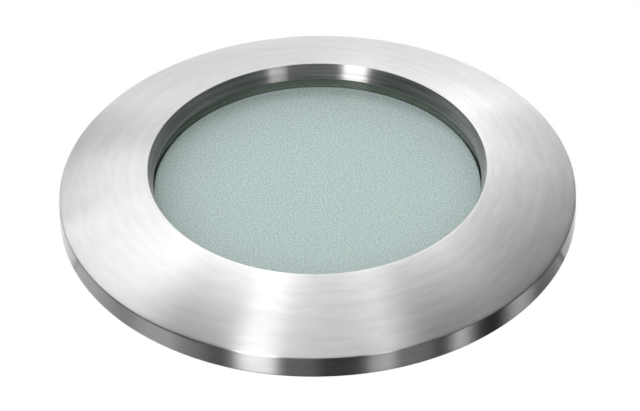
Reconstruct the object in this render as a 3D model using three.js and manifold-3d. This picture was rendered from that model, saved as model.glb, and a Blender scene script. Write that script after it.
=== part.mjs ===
// Recessed ceiling spotlight with a screw-on glazed trim ring, as it hangs in a ceiling.
// Millimetres. +Z points up into the ceiling void, and the origin is the centre of the ceiling's lower face.
import * as THREE from 'three';
import { mergeVertices } from 'three/addons/utils/BufferGeometryUtils.js';
import Module from 'manifold-3d';

const wasm = await Module();
wasm.setup();

// Gaps between pieces, and how far a cutting tool runs past what it cuts
const seatGap = 0.1;
const fitGap = 0.3;
const overrun = 1;

// Facets
const ringSides = 64;
const sealSides = 48;
const lampSides = 40;
const smallSides = 16;
const cornerSides = 5;

// Lamp with a twist-lock base
const lampRadius = 25.3;
const lampRimHeight = 2.6;
const bowlStepIn = 0.9;
const bowlHeight = 31;
const bowlSteps = 6;
const bowlWall = 1.5;
const neckRadius = 8.8;
const neckHeight = 2;
const neckBoreRadius = 5.6;
const lampGlassThickness = 2;
const capsuleRadius = 4.8;
const capsuleLength = 18;
const capsuleTipRadius = 1.2;
const capsuleTipLength = 1.6;
const pinchWidth = 9;
const pinchThickness = 3;
const pinchDepth = 3;
const lampBaseLength = 21;
const lampBaseWidth = 14;
const lampBaseHeight = 10;
const lampBaseCorner = 4;
const lampCollarRadius = 10.4;
const lampCollarHeight = 4;
const lampPinSpacing = 10;
const lampPinRadius = 1.5;
const lampPinHeadRadius = 2.4;
const lampPinHeadHeight = 2.5;
const lampPinLength = 7;
const lampPinRoot = 3;

// Trim ring
const faceWidth = 14.7;
const rimHeight = 3.9;
const rimWall = 2.2;
const crownDepth = 9.05;
const openingMargin = 2.5;
const throatTaper = 0.9;
const throatDepth = 2.7;
const faceBulge = 0.45;
const faceSteps = 6;
const spigotWall = 1.8;
const threadLength = 8.2;
const threadChamfer = 0.6;

// Glass and what seals and clamps it
const glassLap = 2.3;
const glassThickness = 3;
const glassChamfer = 0.35;
const sealWidth = 1.8;
const sealThickness = 1.2;
const retainerHeight = 3.2;
const retainerSlotWidth = 2.6;
const retainerSlotDepth = 1.2;
const retainerSlots = 4;
const oRingSection = 0.7;
const oRingSides = 6;
const grooveMargin = 0.5;

// Housing
const gasketThickness = 1;
const gasketInset = 0.3;
const gasketLand = 1.9;
const flangeThickness = 1.8;
const barrelWall = 2;
const shoulderThickness = 2;
const shoulderGap = 0.6;
const lampClearance = 1.7;
const canWall = 1.6;
const canHeight = 16;
const canFillet = 0.8;
const finReach = 4.8;
const finThickness = 1.3;
const finRoot = 0.9;
const finShoulder = 4;
const finsPerQuarter = 7;
const finMargin = 0.9;
const lugThickness = 2;
const lugNoseRadius = 3;
const lugRoot = 2.8;
const padWidth = 15;
const padProud = 0.6;
const padRoot = 1.3;

// Ceiling clips
const wireRadius = 0.7;
const coilRadius = 2.2;
const coilTurns = 3;
const coilPitch = 1.9;
const wireSides = 5;
const curlSteps = 8;
const tailHeight = 7;
const tailOffset = 1.5;
const tailGap = 0.2;
const armLength = 28;
const armCorner = 2.4;
const armCornerSteps = 4;
const tipClearance = 0.5;
const pivotRise = 6.5;
const clipPinRadius = 1.1;
const clipPinHeadRadius = 1.9;
const clipPinHeadHeight = 0.8;
const sleeveWall = 0.6;
const sleeveGap = 0.25;

// Lampholder
const holderLength = 32;
const holderWidth = 19;
const holderCorner = 6;
const slotPlate = 3.5;
const chamberHeight = 6.2;
const chamberMargin = 0.6;
const lockAngle = 25;
const capInset = 0.5;
const capHeight = 5;
const leadHoleRadius = 1.4;
const leadHoleSpacing = 7;
const contactThickness = 0.5;
const contactWidth = 3.2;
const contactLength = 5;
const contactSteps = 2;

// Strap
const strapThickness = 1.2;
const strapWidth = 14;
const strapBend = 3;
const strapBendSteps = 4;
const strapTopMargin = 2.5;
const strapFootMargin = 1;
const kneeHeight = 26;
const strapSlotLength = 12;
const strapSlotWidth = 6.4;

// Fasteners
const screwRadius = 1.4;
const screwHeadRadius = 2.7;
const screwHeadHeight = 1.8;
const holderScrewInset = 3.8;
const earthRadius = 1.8;
const earthHeadRadius = 3.5;
const earthHeadHeight = 2.2;
const earthTail = 2;
const washerRadius = 4.3;
const washerThickness = 0.7;
const nutRadius = 4.4;
const nutThickness = 2.6;
const nutSides = 6;
const earthRise = 9;

// Radii that follow, from the lamp outwards
const openingRadius = lampRadius + openingMargin;
const ringRadius = openingRadius + faceWidth;
const throatRadius = openingRadius - throatTaper;
const glassRadius = throatRadius + glassLap;
const pocketRadius = glassRadius + fitGap;
const spigotRadius = pocketRadius + spigotWall;
const barrelBore = spigotRadius + fitGap;
const barrelRadius = barrelBore + barrelWall;
const canBore = lampRadius + lampClearance;
const canRadius = canBore + canWall;
const hollowRadius = ringRadius - rimWall;
const flangeRadius = hollowRadius - fitGap;
const oRingRadius = (barrelBore + flangeRadius) / 2;

// Heights that follow, from the crown of the trim upwards
const glassSeat = throatDepth - crownDepth;
const glassBottom = glassSeat + seatGap;
const glassTop = glassBottom + glassThickness;
const sealBottom = glassTop + seatGap;
const sealTop = sealBottom + sealThickness;
const retainerBottom = sealTop + seatGap;
const retainerTop = retainerBottom + retainerHeight;
const flangeTop = -gasketThickness;
const flangeBottom = flangeTop - flangeThickness;
const hollowFloor = flangeBottom - fitGap;
const spigotTop = hollowFloor + threadLength;
const boreEnd = spigotTop + shoulderGap;
const barrelTop = boreEnd + shoulderThickness;
const canTop = barrelTop + canHeight;
const lampFront = boreEnd + lampClearance;
const bowlFront = lampFront + lampRimHeight;
const bowlBack = bowlFront + bowlHeight;
const neckTop = bowlBack + neckHeight;
const baseFloor = neckTop + fitGap;
const collarTop = bowlBack + seatGap + lampCollarHeight;
const lampBaseTop = collarTop + lampBaseHeight;
const pinTop = lampBaseTop + lampPinLength;
const pinNeckTop = pinTop - lampPinHeadHeight;
const holderBottom = lampBaseTop + fitGap;
const chamberFloor = holderBottom + slotPlate;
const holderTop = chamberFloor + chamberHeight;
const capBottom = holderTop + seatGap;
const capTop = capBottom + capHeight;
const strapUnder = capTop + seatGap;
const strapTop = strapUnder + strapThickness;

// Clip places that follow
const pivotX = canRadius + tailGap + wireRadius + coilRadius;
const pivotZ = barrelTop + pivotRise;
const coilAdvance = coilPitch * (coilTurns + 0.25);
const armY = tailOffset + coilAdvance;
const lugInner = armY + wireRadius + fitGap;
const lugOuter = lugInner + lugThickness;
const sleeveBore = wireRadius + sleeveGap;
const sleeveRadius = sleeveBore + sleeveWall;
const tipZ = sleeveRadius + tipClearance;
const armSwing = Math.hypot(armLength, coilRadius);
const armDroop = Math.asin((pivotZ - tipZ) / armSwing) - Math.atan2(coilRadius, armLength);

// Places on the pads and the strap that follow
const padFace = canRadius + padProud;
const legInner = padFace + seatGap;
const legOuter = legInner + strapThickness;
const strapFoot = barrelTop + strapFootMargin;
const bracketScrewZ = (strapFoot + canTop) / 2;
const earthZ = canTop + earthRise;
const kneeZ = canTop + kneeHeight;
const topHalfLength = holderLength / 2 + strapTopMargin;
const holderScrewY = holderLength / 2 - holderScrewInset;
const lampPinY = lampPinSpacing / 2;

// Removes repeated corners and empty faces, and turns the faces outwards.
function cleaned(source) {
  const merged = source.clone();
  merged.deleteAttribute('normal');
  merged.deleteAttribute('uv');
  const geometry = mergeVertices(merged);
  const place = geometry.getAttribute('position');
  const old = geometry.getIndex().array;
  const kept = [];
  let volume = 0;
  const [a, b, c] = [new THREE.Vector3(), new THREE.Vector3(), new THREE.Vector3()];
  for (let i = 0; i < old.length; i += 3) {
    const [p, q, r] = [old[i], old[i + 1], old[i + 2]];
    if (p === q || q === r || r === p) continue;
    kept.push(p, q, r);
    a.fromBufferAttribute(place, p);
    b.fromBufferAttribute(place, q);
    c.fromBufferAttribute(place, r);
    volume += a.dot(b.cross(c));
  }
  geometry.setIndex(volume < 0 ? kept.reverse() : kept);
  return geometry;
}

function solid(geometry) {
  const closed = cleaned(geometry);
  const vertProperties = Float32Array.from(closed.getAttribute('position').array);
  const triVerts = Uint32Array.from(closed.getIndex().array);
  return new wasm.Manifold(new wasm.Mesh({ numProp: 3, vertProperties, triVerts }));
}

function geometryOf(body) {
  const mesh = body.getMesh();
  const geometry = new THREE.BufferGeometry();
  geometry.setAttribute('position', new THREE.BufferAttribute(mesh.vertProperties, 3));
  geometry.setIndex(new THREE.BufferAttribute(mesh.triVerts, 1));
  return geometry;
}

function joined(first, ...others) {
  return others.reduce((body, other) => body.add(solid(other)), solid(first));
}

function cut(body, ...tools) {
  return tools.reduce((rest, tool) => rest.subtract(solid(tool)), body);
}

// A revolve about Z of a list of [radius, height] points. A ring's outline is closed on itself.
function turned(points, sides = ringSides) {
  const outline = points.map(([r, z]) => new THREE.Vector2(r, z));
  const touchesAxis = points[0][0] === 0 && points[points.length - 1][0] === 0;
  if (!touchesAxis) outline.push(outline[0].clone());
  return cleaned(new THREE.LatheGeometry(outline, sides).rotateX(Math.PI / 2));
}

function ring(inner, outer, bottom, top, sides = ringSides) {
  return turned([[inner, bottom], [outer, bottom], [outer, top], [inner, top]], sides);
}

function rod(radius, bottom, top, sides = smallSides) {
  return turned([[0, bottom], [radius, bottom], [radius, top], [0, top]], sides);
}

// A turned piece laid along Y, its top towards +Y, at the given X and Z
function alongY(geometry, x = 0, z = 0) {
  return geometry.clone().rotateX(-Math.PI / 2).translate(x, 0, z);
}

function block(width, length, bottom, top, x = 0, y = 0) {
  const box = new THREE.BoxGeometry(width, length, top - bottom);
  return box.translate(x, y, (bottom + top) / 2);
}

function extruded(shape, depth) {
  return new THREE.ExtrudeGeometry(shape, { depth, bevelEnabled: false, curveSegments: cornerSides });
}

// A block with round upright corners, centred on the axis
function roundedBlock(width, length, corner, bottom, top) {
  const [x, y] = [width / 2 - corner, length / 2 - corner];
  const shape = new THREE.Shape();
  shape.absarc(x, y, corner, 0, Math.PI / 2);
  shape.absarc(-x, y, corner, Math.PI / 2, Math.PI);
  shape.absarc(-x, -y, corner, Math.PI, Math.PI * 3 / 2);
  shape.absarc(x, -y, corner, Math.PI * 3 / 2, Math.PI * 2);
  return extruded(shape, top - bottom).translate(0, 0, bottom);
}

// A flat strip bent round the corners of a path of [y, z] points, with its width along X.
// The path is the strip's middle line.
function bentStrip(path, thickness, width, bend, bendSteps) {
  const middle = roundedPath(path.map(([y, z]) => new THREE.Vector3(0, y, z)), bend, bendSteps);
  const left = [];
  const right = [];
  middle.forEach((point, i) => {
    const before = middle[Math.max(i - 1, 0)];
    const after = middle[Math.min(i + 1, middle.length - 1)];
    const incoming = point.clone().sub(i === 0 ? after : before).normalize();
    const outgoing = after.clone().sub(i === middle.length - 1 ? before : point).normalize();
    if (i === 0) incoming.negate();
    const along = incoming.clone().add(outgoing).normalize();
    const reach = thickness / 2 / along.dot(outgoing);
    left.push(new THREE.Vector2(point.y - along.z * reach, point.z + along.y * reach));
    right.unshift(new THREE.Vector2(point.y + along.z * reach, point.z - along.y * reach));
  });
  const strip = extruded(new THREE.Shape([...left, ...right]), width);
  const upright = new THREE.Matrix4().makeBasis(
    new THREE.Vector3(0, 1, 0), new THREE.Vector3(0, 0, 1), new THREE.Vector3(1, 0, 0));
  return strip.applyMatrix4(upright).translate(-width / 2, 0, 0);
}

// Rounds each corner of a path with an arc that meets both legs at the given distance from it.
function roundedPath(corners, distance, steps) {
  const points = [corners[0]];
  for (let i = 1; i < corners.length - 1; i += 1) {
    const back = corners[i - 1].clone().sub(corners[i]).normalize();
    const ahead = corners[i + 1].clone().sub(corners[i]).normalize();
    const half = back.angleTo(ahead) / 2;
    const radius = distance * Math.tan(half);
    const centre = back.clone().add(ahead).normalize().multiplyScalar(distance / Math.cos(half)).add(corners[i]);
    const start = back.multiplyScalar(distance).add(corners[i]).sub(centre);
    const end = ahead.multiplyScalar(distance).add(corners[i]).sub(centre);
    const sweep = start.angleTo(end);
    for (let k = 0; k <= steps; k += 1) {
      const share = k / steps;
      const point = start.clone().multiplyScalar(Math.sin((1 - share) * sweep));
      point.addScaledVector(end, Math.sin(share * sweep)).divideScalar(Math.sin(sweep));
      points.push(point.setLength(radius).add(centre));
    }
  }
  points.push(corners[corners.length - 1]);
  return points;
}

// One unbroken round wire along a list of points, with flat ends.
function wire(points, radius, sides) {
  const vertices = [];
  const faces = [];
  let up = null;
  points.forEach((point, i) => {
    const before = points[Math.max(i - 1, 0)];
    const after = points[Math.min(i + 1, points.length - 1)];
    const along = after.clone().sub(before).normalize();
    if (!up) up = Math.abs(along.y) < Math.SQRT1_2 ? new THREE.Vector3(0, 1, 0) : new THREE.Vector3(0, 0, 1);
    up = up.clone().addScaledVector(along, -up.dot(along)).normalize();
    const side = along.clone().cross(up);
    for (let k = 0; k < sides; k += 1) {
      const angle = 2 * Math.PI * k / sides;
      const spot = point.clone().addScaledVector(up, radius * Math.cos(angle));
      vertices.push(...spot.addScaledVector(side, radius * Math.sin(angle)).toArray());
    }
  });
  for (let i = 0; i + 1 < points.length; i += 1) {
    for (let k = 0; k < sides; k += 1) {
      const [a, b] = [i * sides + k, i * sides + (k + 1) % sides];
      faces.push(a, b, a + sides, b, b + sides, a + sides);
    }
  }
  const last = (points.length - 1) * sides;
  for (let k = 1; k + 1 < sides; k += 1) {
    faces.push(0, k + 1, k, last, last + k, last + k + 1);
  }
  const geometry = new THREE.BufferGeometry();
  geometry.setAttribute('position', new THREE.Float32BufferAttribute(vertices, 3));
  geometry.setIndex(faces);
  return cleaned(geometry);
}

// The least clear distance between stretches of a wire that lie further apart along it than the given length.
function leastGap(points, radius, apart) {
  const travelled = [0];
  for (let i = 1; i < points.length; i += 1) {
    travelled.push(travelled[i - 1] + points[i].distanceTo(points[i - 1]));
  }
  let least = Infinity;
  points.forEach((point, i) => {
    for (let k = i + 1; k < points.length; k += 1) {
      if (travelled[k] - travelled[i] > apart) least = Math.min(least, point.distanceTo(points[k]));
    }
  });
  return least - 2 * radius;
}

// The trim ring's sloped face bulges a little, from the rim to the opening.
function facePoint(share) {
  const bulge = 4 * faceBulge * share * (1 - share);
  const run = new THREE.Vector2(openingRadius - ringRadius, rimHeight - crownDepth);
  const outward = new THREE.Vector2(-run.y, run.x).normalize().multiplyScalar(bulge);
  return [ringRadius + run.x * share + outward.x, -rimHeight + run.y * share + outward.y];
}

function trimRing() {
  const face = [];
  for (let i = 0; i <= faceSteps; i += 1) face.push(facePoint(i / faceSteps));
  const grooveDepth = 2 * oRingSection - fitGap + seatGap;
  const grooveHalf = oRingSection + grooveMargin;
  return turned([
    [ringRadius, 0],
    ...face,
    [throatRadius, glassSeat],
    [pocketRadius, glassSeat],
    [pocketRadius, spigotTop],
    [spigotRadius - threadChamfer, spigotTop],
    [spigotRadius, spigotTop - threadChamfer],
    [spigotRadius, hollowFloor],
    [oRingRadius - grooveHalf, hollowFloor],
    [oRingRadius - grooveHalf, hollowFloor - grooveDepth],
    [oRingRadius + grooveHalf, hollowFloor - grooveDepth],
    [oRingRadius + grooveHalf, hollowFloor],
    [hollowRadius, hollowFloor],
    [hollowRadius, 0],
  ]);
}

function glassDisc() {
  return turned([
    [0, glassBottom],
    [glassRadius - glassChamfer, glassBottom],
    [glassRadius, glassBottom + glassChamfer],
    [glassRadius, glassTop - glassChamfer],
    [glassRadius - glassChamfer, glassTop],
    [0, glassTop],
  ]);
}

function glassSeal() {
  return ring(glassRadius - sealWidth, glassRadius, sealBottom, sealTop, sealSides);
}

function glassRetainingRing() {
  const body = solid(ring(glassRadius - sealWidth, glassRadius, retainerBottom, retainerTop, sealSides));
  const slots = [];
  for (let i = 0; i < retainerSlots; i += 1) {
    const slot = block(retainerSlotWidth, sealWidth + 2 * overrun,
      retainerTop - retainerSlotDepth, retainerTop + overrun, 0, glassRadius - sealWidth / 2);
    slots.push(slot.rotateZ(2 * Math.PI * (i + 0.5) / retainerSlots));
  }
  return geometryOf(cut(body, ...slots));
}

function bezelORing() {
  const grooveFloor = flangeBottom - 2 * oRingSection - seatGap;
  const points = [];
  for (let i = 0; i < oRingSides; i += 1) {
    const angle = 2 * Math.PI * i / oRingSides;
    const height = grooveFloor + oRingSection + oRingSection * Math.sin(angle);
    points.push([oRingRadius + oRingSection * Math.cos(angle), height]);
  }
  return turned(points, sealSides);
}

function ceilingGasket() {
  return ring(barrelRadius + gasketLand, flangeRadius - gasketInset, flangeTop, 0, sealSides);
}

// One cooling fin in the X, Z plane, its thickness across Y
function fin() {
  const shape = new THREE.Shape([
    new THREE.Vector2(canRadius - finRoot, barrelTop - finRoot),
    new THREE.Vector2(canRadius + finReach, barrelTop - finRoot),
    new THREE.Vector2(canRadius + finReach, canTop - finShoulder),
    new THREE.Vector2(canRadius + finReach / 4, canTop - canFillet),
    new THREE.Vector2(canRadius - finRoot, canTop - canFillet),
  ]);
  return extruded(shape, finThickness).rotateX(Math.PI / 2).translate(0, finThickness / 2, 0);
}

// One of the pair of cast lugs that hold a clip's pin, on the given side of the clip
function lug(side) {
  const shape = new THREE.Shape();
  const foot = canRadius - lugRoot;
  shape.moveTo(foot, barrelTop - finRoot);
  shape.lineTo(pivotX + lugNoseRadius - canFillet, barrelTop - finRoot);
  shape.absarc(pivotX, pivotZ, lugNoseRadius, 0, Math.PI / 2);
  shape.lineTo(foot, pivotZ + lugNoseRadius + canFillet);
  const plate = extruded(shape, lugThickness).rotateX(Math.PI / 2);
  return plate.translate(0, side > 0 ? lugOuter : -lugInner, 0);
}

function housing() {
  const shell = turned([
    [barrelBore, flangeBottom],
    [flangeRadius, flangeBottom],
    [flangeRadius, flangeTop],
    [barrelRadius, flangeTop],
    [barrelRadius, barrelTop - canFillet],
    [barrelRadius - canFillet, barrelTop],
    [canRadius + canFillet, barrelTop],
    [canRadius, barrelTop + canFillet],
    [canRadius, canTop],
    [canBore, canTop],
    [canBore, boreEnd],
    [barrelBore, boreEnd],
  ]);
  const added = [];
  const clipHalfAngle = Math.asin((lugOuter + finThickness) / canRadius) + finMargin / canRadius;
  const padHalfAngle = Math.asin((padWidth + finThickness) / 2 / canRadius) + finMargin / canRadius;
  for (let quarter = 0; quarter < 4; quarter += 1) {
    const startsAtClip = quarter % 2 === 0;
    const from = quarter * Math.PI / 2 + (startsAtClip ? clipHalfAngle : padHalfAngle);
    const to = (quarter + 1) * Math.PI / 2 - (startsAtClip ? padHalfAngle : clipHalfAngle);
    for (let i = 0; i < finsPerQuarter; i += 1) {
      added.push(fin().rotateZ(from + (to - from) * i / (finsPerQuarter - 1)));
    }
  }
  for (const turn of [0, Math.PI]) {
    added.push(lug(1).rotateZ(turn), lug(-1).rotateZ(turn));
    const padDepth = padProud + padRoot;
    const pad = block(padWidth, padDepth, barrelTop - finRoot, canTop - canFillet, 0, padFace - padDepth / 2);
    added.push(pad.rotateZ(turn));
  }
  const body = joined(shell, ...added);
  const boreTool = rod(canBore, boreEnd + overrun, canTop + overrun, ringSides);
  const pinHole = alongY(rod(clipPinRadius + fitGap / 2, -lugOuter - overrun, lugOuter + overrun), pivotX, pivotZ);
  const screwHole = alongY(rod(screwRadius + fitGap, -padFace - overrun, padFace + overrun), 0, bracketScrewZ);
  return geometryOf(cut(body, boreTool, pinHole, pinHole.clone().rotateZ(Math.PI), screwHole));
}

// The bowl is a paraboloid: the square of its radius falls evenly from the rim to the neck.
function bowlRadius(share, inset) {
  const front = lampRadius - bowlStepIn;
  return Math.sqrt(front ** 2 + (neckRadius ** 2 - front ** 2) * share) - inset;
}

function lampReflector() {
  const outer = [];
  const inner = [];
  for (let i = 0; i <= bowlSteps; i += 1) {
    const share = i / bowlSteps;
    const height = bowlFront + bowlHeight * share;
    outer.push([bowlRadius(share, 0), height]);
    inner.unshift([Math.max(bowlRadius(share, bowlWall), neckBoreRadius), height]);
  }
  inner.shift();
  return turned([
    [lampRadius - bowlWall, lampFront],
    [lampRadius, lampFront],
    [lampRadius, bowlFront - bowlStepIn],
    ...outer,
    [neckRadius, neckTop],
    [neckBoreRadius, neckTop],
    [neckBoreRadius, bowlBack],
    ...inner,
    [lampRadius - bowlWall, bowlFront],
  ], lampSides);
}

function lampFrontGlass() {
  return rod(lampRadius - bowlWall - fitGap, lampFront + seatGap, lampFront + lampGlassThickness, lampSides);
}

function lampCapsule() {
  const pinchFloor = bowlBack - capsuleRadius;
  const bulbTop = pinchFloor + seatGap;
  const bulbBottom = bulbTop - capsuleLength;
  const bulb = turned([
    [0, bulbBottom],
    [capsuleTipRadius, bulbBottom],
    [capsuleTipRadius, bulbBottom + capsuleTipLength],
    [capsuleRadius * Math.SQRT1_2, bulbBottom + capsuleTipLength + capsuleRadius * (1 - Math.SQRT1_2)],
    [capsuleRadius, bulbBottom + capsuleTipLength + capsuleRadius],
    [capsuleRadius, bulbTop - capsuleTipLength],
    [pinchThickness / 2, bulbTop],
    [0, bulbTop],
  ], smallSides);
  const pinch = block(pinchThickness, pinchWidth, pinchFloor - capsuleTipLength, baseFloor + pinchDepth);
  return geometryOf(joined(bulb, pinch));
}

function lampBase() {
  const collar = rod(lampCollarRadius, bowlBack + seatGap, collarTop + seatGap, lampSides);
  const body = joined(collar, roundedBlock(lampBaseWidth, lampBaseLength, lampBaseCorner, collarTop, lampBaseTop));
  const neckSocket = rod(neckRadius + fitGap, bowlBack - overrun, baseFloor, lampSides);
  const pinchSocket = block(pinchThickness + 2 * fitGap, pinchWidth + 2 * fitGap,
    baseFloor - overrun, baseFloor + pinchDepth + fitGap);
  const pinSockets = [1, -1].map((side) => {
    const socket = rod(lampPinRadius + fitGap, lampBaseTop - lampPinRoot - fitGap, lampBaseTop + overrun);
    return socket.translate(0, side * lampPinY, 0);
  });
  return geometryOf(cut(body, neckSocket, pinchSocket, ...pinSockets));
}

function lampPin(side) {
  return turned([
    [0, lampBaseTop - lampPinRoot],
    [lampPinRadius, lampBaseTop - lampPinRoot],
    [lampPinRadius, pinNeckTop],
    [lampPinHeadRadius, pinNeckTop],
    [lampPinHeadRadius, pinTop - fitGap],
    [lampPinHeadRadius - fitGap, pinTop],
    [0, pinTop],
  ], smallSides).translate(0, side * lampPinY, 0);
}

// A round-ended slot along an arc about the lamp's axis, from the locked place to where the pin goes in
function lockSlot(halfWidth, bottom, top) {
  const locked = Math.PI / 2;
  const open = locked - THREE.MathUtils.degToRad(lockAngle);
  const shape = new THREE.Shape();
  shape.absarc(0, 0, lampPinY + halfWidth, open, locked);
  shape.absarc(lampPinY * Math.cos(locked), lampPinY * Math.sin(locked), halfWidth, locked, locked + Math.PI);
  shape.absarc(0, 0, lampPinY - halfWidth, locked, open, true);
  shape.absarc(lampPinY * Math.cos(open), lampPinY * Math.sin(open), halfWidth, open + Math.PI, open + 2 * Math.PI);
  return extruded(shape, top - bottom).translate(0, 0, bottom);
}

function holderScrewHoles(bottom, top) {
  return [1, -1].map((side) => rod(screwRadius + fitGap, bottom - overrun, top + overrun)
    .translate(0, side * holderScrewY, 0));
}

function lampholderBody() {
  const body = solid(roundedBlock(holderWidth, holderLength, holderCorner, holderBottom, holderTop));
  const open = Math.PI / 2 - THREE.MathUtils.degToRad(lockAngle);
  const headRoom = lampPinHeadRadius + fitGap;
  const openX = lampPinY * Math.cos(open);
  const roomHalfLength = headRoom + chamberMargin;
  const tools = [];
  for (const turn of [0, Math.PI]) {
    const entry = rod(headRoom, holderBottom - overrun, chamberFloor + overrun)
      .translate(openX, lampPinY * Math.sin(open), 0);
    const room = block(openX + 2 * roomHalfLength, 2 * roomHalfLength,
      chamberFloor, holderTop + overrun, openX / 2, lampPinY);
    tools.push(lockSlot(lampPinRadius + fitGap, holderBottom - overrun, chamberFloor + overrun).rotateZ(turn));
    tools.push(entry.rotateZ(turn), room.rotateZ(turn));
  }
  return geometryOf(cut(body, ...tools, ...holderScrewHoles(holderBottom, holderTop)));
}

function lampholderCap() {
  const body = solid(roundedBlock(
    holderWidth - 2 * capInset, holderLength - 2 * capInset, holderCorner - capInset, capBottom, capTop));
  const leads = [1, -1].map((side) => rod(leadHoleRadius, capBottom - overrun, capTop + overrun)
    .translate(0, side * leadHoleSpacing / 2, 0));
  return geometryOf(cut(body, ...leads, ...holderScrewHoles(capBottom, capTop)));
}

// A leaf contact: its flat root lies under the cap, and its free end slopes down to just over the pin's head.
function holderContact(side) {
  const rootZ = holderTop - contactThickness / 2;
  const endZ = pinTop + fitGap + contactThickness;
  const [near, far] = [lampPinY - contactLength / 2, lampPinY + contactLength / 2];
  const path = [[far, rootZ], [lampPinY, rootZ], [near, endZ]];
  const leaf = bentStrip(path, contactThickness, contactWidth, contactThickness, contactSteps);
  return side > 0 ? leaf : leaf.rotateZ(Math.PI);
}

function holderBracket() {
  const [legY, topZ] = [(legInner + legOuter) / 2, (strapUnder + strapTop) / 2];
  const half = [[legY, strapFoot], [legY, kneeZ], [topHalfLength, topZ]];
  const path = [...half, ...half.map(([y, z]) => [-y, z]).reverse()];
  const strap = solid(bentStrip(path, strapThickness, strapWidth, strapBend, strapBendSteps));
  const leadSlot = roundedBlock(strapSlotWidth, strapSlotLength, strapSlotWidth / 2 - seatGap,
    strapUnder - overrun, strapTop + overrun);
  const footHole = alongY(rod(screwRadius + fitGap, -legOuter - overrun, legOuter + overrun), 0, bracketScrewZ);
  const earthHole = alongY(rod(earthRadius + fitGap, legInner - overrun, legOuter + overrun), 0, earthZ);
  return geometryOf(cut(strap, leadSlot, footHole, earthHole, ...holderScrewHoles(strapUnder, strapTop)));
}

// A pan-head screw whose head stands on z = 0, its shank below
function panScrew(radius, headRadius, headHeight, length) {
  return turned([
    [0, -length],
    [radius, -length],
    [radius, 0],
    [headRadius, 0],
    [headRadius, headHeight / 2],
    [headRadius * Math.SQRT1_2, headHeight],
    [0, headHeight],
  ], smallSides);
}

function holderScrew(side) {
  const length = strapTop + seatGap - chamberFloor;
  const screw = panScrew(screwRadius, screwHeadRadius, screwHeadHeight, length);
  return screw.translate(0, side * holderScrewY, strapTop + seatGap);
}

function bracketScrew(side) {
  const length = legOuter + seatGap - canBore;
  const screw = panScrew(screwRadius, screwHeadRadius, screwHeadHeight, length - fitGap);
  const laid = alongY(screw.translate(0, 0, legOuter + seatGap), 0, bracketScrewZ);
  return side > 0 ? laid : laid.rotateZ(Math.PI);
}

function earthWasher() {
  const [inner, outer] = [legOuter + seatGap, legOuter + seatGap + washerThickness];
  return alongY(ring(earthRadius + fitGap, washerRadius, inner, outer, smallSides), 0, earthZ);
}

function earthScrew() {
  const headFace = legOuter + washerThickness + 2 * seatGap;
  const length = headFace - legInner + seatGap + nutThickness + earthTail;
  const screw = panScrew(earthRadius, earthHeadRadius, earthHeadHeight, length);
  return alongY(screw.translate(0, 0, headFace), 0, earthZ);
}

function earthNut() {
  const outer = legInner - seatGap;
  return alongY(ring(earthRadius + fitGap, nutRadius, outer - nutThickness, outer, nutSides), 0, earthZ);
}

// The middle line of the right clip's wire: up the can wall as a tail, round a coil, out along an arm,
// across the tip, and back by the mirror image to the other tail.
function clipWirePoints() {
  const half = [new THREE.Vector3(pivotX - coilRadius, tailOffset, pivotZ + tailHeight)];
  const leaving = 1.5 * Math.PI - armDroop;
  const sweep = leaving - Math.PI + 2 * Math.PI * coilTurns;
  const steps = Math.ceil(curlSteps * sweep / (2 * Math.PI));
  for (let i = 0; i <= steps; i += 1) {
    const angle = Math.PI + sweep * i / steps;
    half.push(new THREE.Vector3(
      pivotX + coilRadius * Math.cos(angle), tailOffset + coilAdvance * i / steps, pivotZ + coilRadius * Math.sin(angle)));
  }
  const root = half[half.length - 1];
  const tip = new THREE.Vector3(
    root.x + armLength * Math.cos(armDroop), armY, root.z - armLength * Math.sin(armDroop));
  const mirrored = (point) => new THREE.Vector3(point.x, -point.y, point.z);
  const corners = roundedPath([root, tip, mirrored(tip), mirrored(root)], armCorner, armCornerSteps);
  half.pop();
  return [...half, ...corners, ...half.map(mirrored).reverse()];
}

function clipSleeve() {
  const tipX = pivotX - coilRadius * Math.sin(armDroop) + armLength * Math.cos(armDroop);
  const halfLength = armY - armCorner - seatGap;
  return alongY(ring(sleeveBore, sleeveRadius, -halfLength, halfLength, smallSides / 2), tipX, tipZ);
}

function clipPin() {
  const end = lugOuter + fitGap;
  return alongY(turned([
    [0, -end],
    [clipPinRadius, -end],
    [clipPinRadius, end],
    [clipPinHeadRadius, end],
    [clipPinHeadRadius, end + clipPinHeadHeight],
    [0, end + clipPinHeadHeight],
  ], smallSides), pivotX, pivotZ);
}

// What each piece is made of
const finishes = {
  brushedAluminium: { color: 0xd6d6d4, roughness: 0.3, metalness: 1 },
  castAluminium: { color: 0xa9abad, roughness: 0.55, metalness: 0.9 },
  glass: { color: 0xb4c6c4, roughness: 0.6, metalness: 0, transparent: true, opacity: 0.9 },
  lampGlass: { color: 0xe8eef0, roughness: 0.1, metalness: 0, transparent: true, opacity: 0.5 },
  reflector: { color: 0xc9c4d6, roughness: 0.2, metalness: 0.7 },
  silicone: { color: 0xdedfdc, roughness: 0.7, metalness: 0 },
  blackRubber: { color: 0x1d1d1e, roughness: 0.8, metalness: 0 },
  foam: { color: 0x2b2c2e, roughness: 0.95, metalness: 0 },
  ceramic: { color: 0xf0ece2, roughness: 0.45, metalness: 0 },
  zincSteel: { color: 0xb9bcc0, roughness: 0.35, metalness: 1 },
  springSteel: { color: 0xa4a6a8, roughness: 0.3, metalness: 1 },
  brass: { color: 0xc9a85c, roughness: 0.35, metalness: 1 },
  clearVinyl: { color: 0xe9e6dc, roughness: 0.4, metalness: 0 },
};

const spotlight = new THREE.Group();

function place(name, geometry, finish, parent = spotlight) {
  const material = new THREE.MeshStandardMaterial({ ...finishes[finish], flatShading: true });
  const mesh = new THREE.Mesh(geometry, material);
  mesh.name = name;
  parent.add(mesh);
}

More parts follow.
